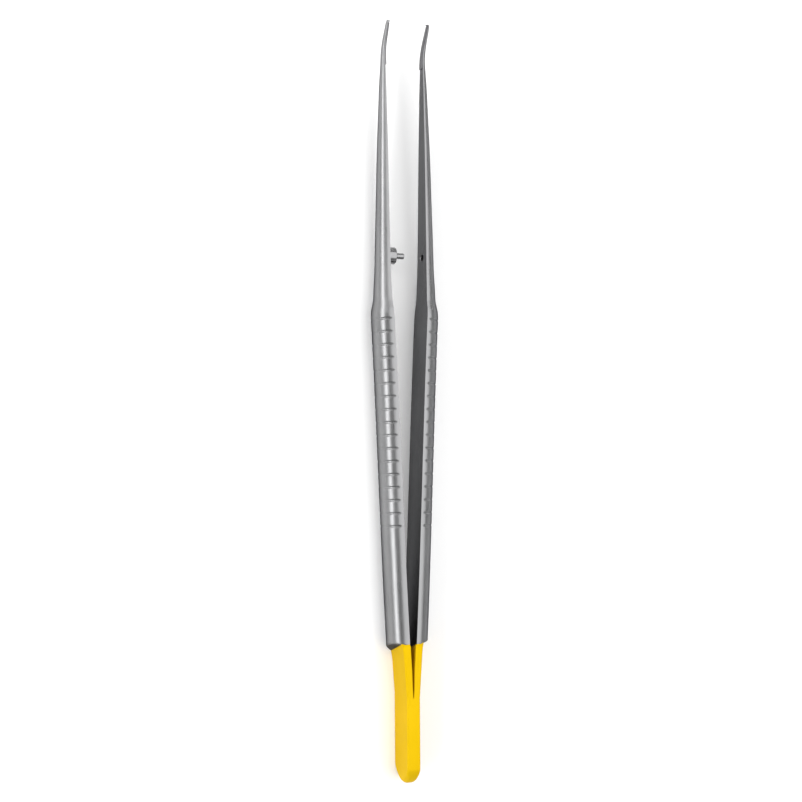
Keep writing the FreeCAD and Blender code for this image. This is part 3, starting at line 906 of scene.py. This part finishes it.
def make_stage():
    """A pale table that curves up into a low round wall. It glows a little where the camera, a
    mirror or a clear piece sees it."""
    material, tree, shader = start_material("pale_table")
    cloud = noise(tree, object_place(tree, (9.0, 9.0, 9.0)), detail=2.0)
    tone = cloudy_tone(tree, cloud, (0.91, 0.91, 0.91), (0.925, 0.925, 0.925))
    tree.links.new(tone, shader.inputs["Base Color"])
    shader.inputs["Roughness"].default_value = 0.9
    shader.inputs["Specular IOR Level"].default_value = 0.1
    path = add_node(tree, "ShaderNodeLightPath")
    seen = calculate(tree, "MAXIMUM", path.outputs["Is Camera Ray"], path.outputs["Is Glossy Ray"])
    seen = calculate(tree, "MAXIMUM", seen, path.outputs["Is Transmission Ray"])
    shader.inputs["Emission Color"].default_value = (1.0, 1.0, 1.0, 1.0)
    glow = calculate(tree, "MULTIPLY", seen, TABLE_GLOW)
    tree.links.new(glow, shader.inputs["Emission Strength"])
    profile = [(0.2, 0.0), (0.5, 0.0), (TABLE_LEVEL, 0.0)]
    for each in range(1, 13):
        angle = math.radians(90 * each / 12)
        radius = TABLE_LEVEL + TABLE_CURVE * math.sin(angle)
        profile.append((radius, TABLE_CURVE - TABLE_CURVE * math.cos(angle)))
    profile.append((TABLE_LEVEL + TABLE_CURVE, WALL_TOP))
    count = 96
    points = [(0.0, 0.0, 0.0)]
    for radius, height in profile:
        for step in range(count):
            angle = 2 * math.pi * step / count
            points.append((radius * math.cos(angle), radius * math.sin(angle), height))
    faces = [(0, 1 + step, 1 + (step + 1) % count) for step in range(count)]
    for row in range(len(profile) - 1):
        low = 1 + row * count
        for step in range(count):
            after = (step + 1) % count
            faces.append((low + step, low + count + step, low + count + after, low + after))
    mesh = bpy.data.meshes.new("pale_table")
    mesh.from_pydata(points, [], faces)
    mesh.shade_smooth()
    mesh.materials.append(material)
    table = add_object("pale_table", mesh)


def add_area_light(name, place, size, radiance):
    """A soft box of that radiance, its longer side along Y, aimed at the middle line."""
    light = bpy.data.lights.new(name, "AREA")
    light.shape = "RECTANGLE"
    light.size = size[0]
    light.size_y = size[1]
    light.energy = radiance * math.pi * size[0] * size[1]
    lamp = add_object(name, light)
    away = Vector((place[0], 0.0, place[2])).normalized()
    side = Vector((0.0, 1.0, 0.0)).cross(away).normalized()
    up = away.cross(side)
    turn = Matrix((side, up, away)).transposed().to_4x4()
    lamp.matrix_world = Matrix.Translation(place) @ turn


def light_up():
    """A dim white surround and three soft boxes."""
    world = bpy.data.worlds.new("studio")
    world.use_nodes = True
    background = world.node_tree.nodes["Background"]
    background.inputs["Color"].default_value = (1.0, 1.0, 1.0, 1.0)
    background.inputs["Strength"].default_value = 0.3
    bpy.context.scene.world = world
    add_area_light("side_strip", (-0.476, 0.1, 0.309), size=(0.2, 1.0), radiance=4.2)
    add_area_light("overhead_box", (0.205, 0.08, 0.564), size=(0.78, 0.9), radiance=1.8)
    add_area_light("tip_fill", (-0.318, 0.36, 0.51), size=(0.26, 0.44), radiance=1.0)


def add_camera():
    """Looks down on the left side of the forceps, from 68 degrees above the table."""
    away = Vector((-math.sin(CAMERA_LEAN), 0.0, math.cos(CAMERA_LEAN)))
    right = Vector((math.cos(CAMERA_LEAN), 0.0, math.sin(CAMERA_LEAN)))
    target = Vector((0.0, 0.0, AXIS_HEIGHT * MM)) - right * (CAMERA_ASIDE * MM)
    turn = Matrix((right, Vector((0.0, 1.0, 0.0)), away)).transposed().to_4x4()
    turn = turn @ Matrix.Rotation(CAMERA_TILT, 4, "X")
    back = turn.to_3x3() @ Vector((0.0, 0.0, CAMERA_DISTANCE))
    camera = bpy.data.cameras.new("camera")
    camera.lens = CAMERA_LENS
    camera.sensor_width = 36.0
    camera.clip_start = 0.01
    view = add_object("camera", camera)
    roll = Matrix.Rotation(CAMERA_ROLL, 4, "Z")
    view.matrix_world = Matrix.Translation(target + back) @ turn @ roll
    bpy.context.scene.camera = view


add_camera()
light_up()
make_stage()
bpy.context.scene.view_settings.view_transform = "Standard"

steel = satin_steel()
gold = gold_plating()
insert_metal = hard_insert()

tail = make_tail(gold)
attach(tail, "tail")
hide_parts("welded_tail")

pin_low, pin_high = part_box("guide_pin")
pin_station = (pin_low.y + pin_high.y) / 2 / MM - BUTT
guide_pin = make_guide_pin(pin_station, pin_high.x / MM, pin_steel(pin_station))
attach(guide_pin, "left_arm")
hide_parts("guide_pin")

right_arm = make_arm(half_round_tree(), steel)
left_arm = mirrored(right_arm, "left_handle_and_shank")
# The arms turn towards each other as they close, so the hole lies a little behind the pin.
hole_behind = through(FLAT, pin_station) * math.sin(OPENING)
bore_guide_hole(right_arm, pin_station - hole_behind)
right_spring = make_spring(gold)
left_spring = mirrored(right_spring, "left_leaf_spring")
cut_tree = cross_cut_tree()
left_insert = make_insert("left_cross_cut_insert", -1, cut_tree, insert_metal, [(-0.11, 0.11)])
right_insert = make_insert(
    "right_cross_cut_insert", 1, cut_tree, insert_metal, [(-0.32, -0.11), (0.11, 0.32)]
)
for arm, spring, insert, body in (
    (left_arm, left_spring, left_insert, "left_arm"),
    (right_arm, right_spring, right_insert, "right_arm"),
):
    soften(arm.data)
    soften(spring.data, 40.0)
    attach(arm, body)
    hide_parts(body)
    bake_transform(spring)
    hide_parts(body)
    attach(insert, body)
    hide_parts(body.replace("arm", "tip_insert"))
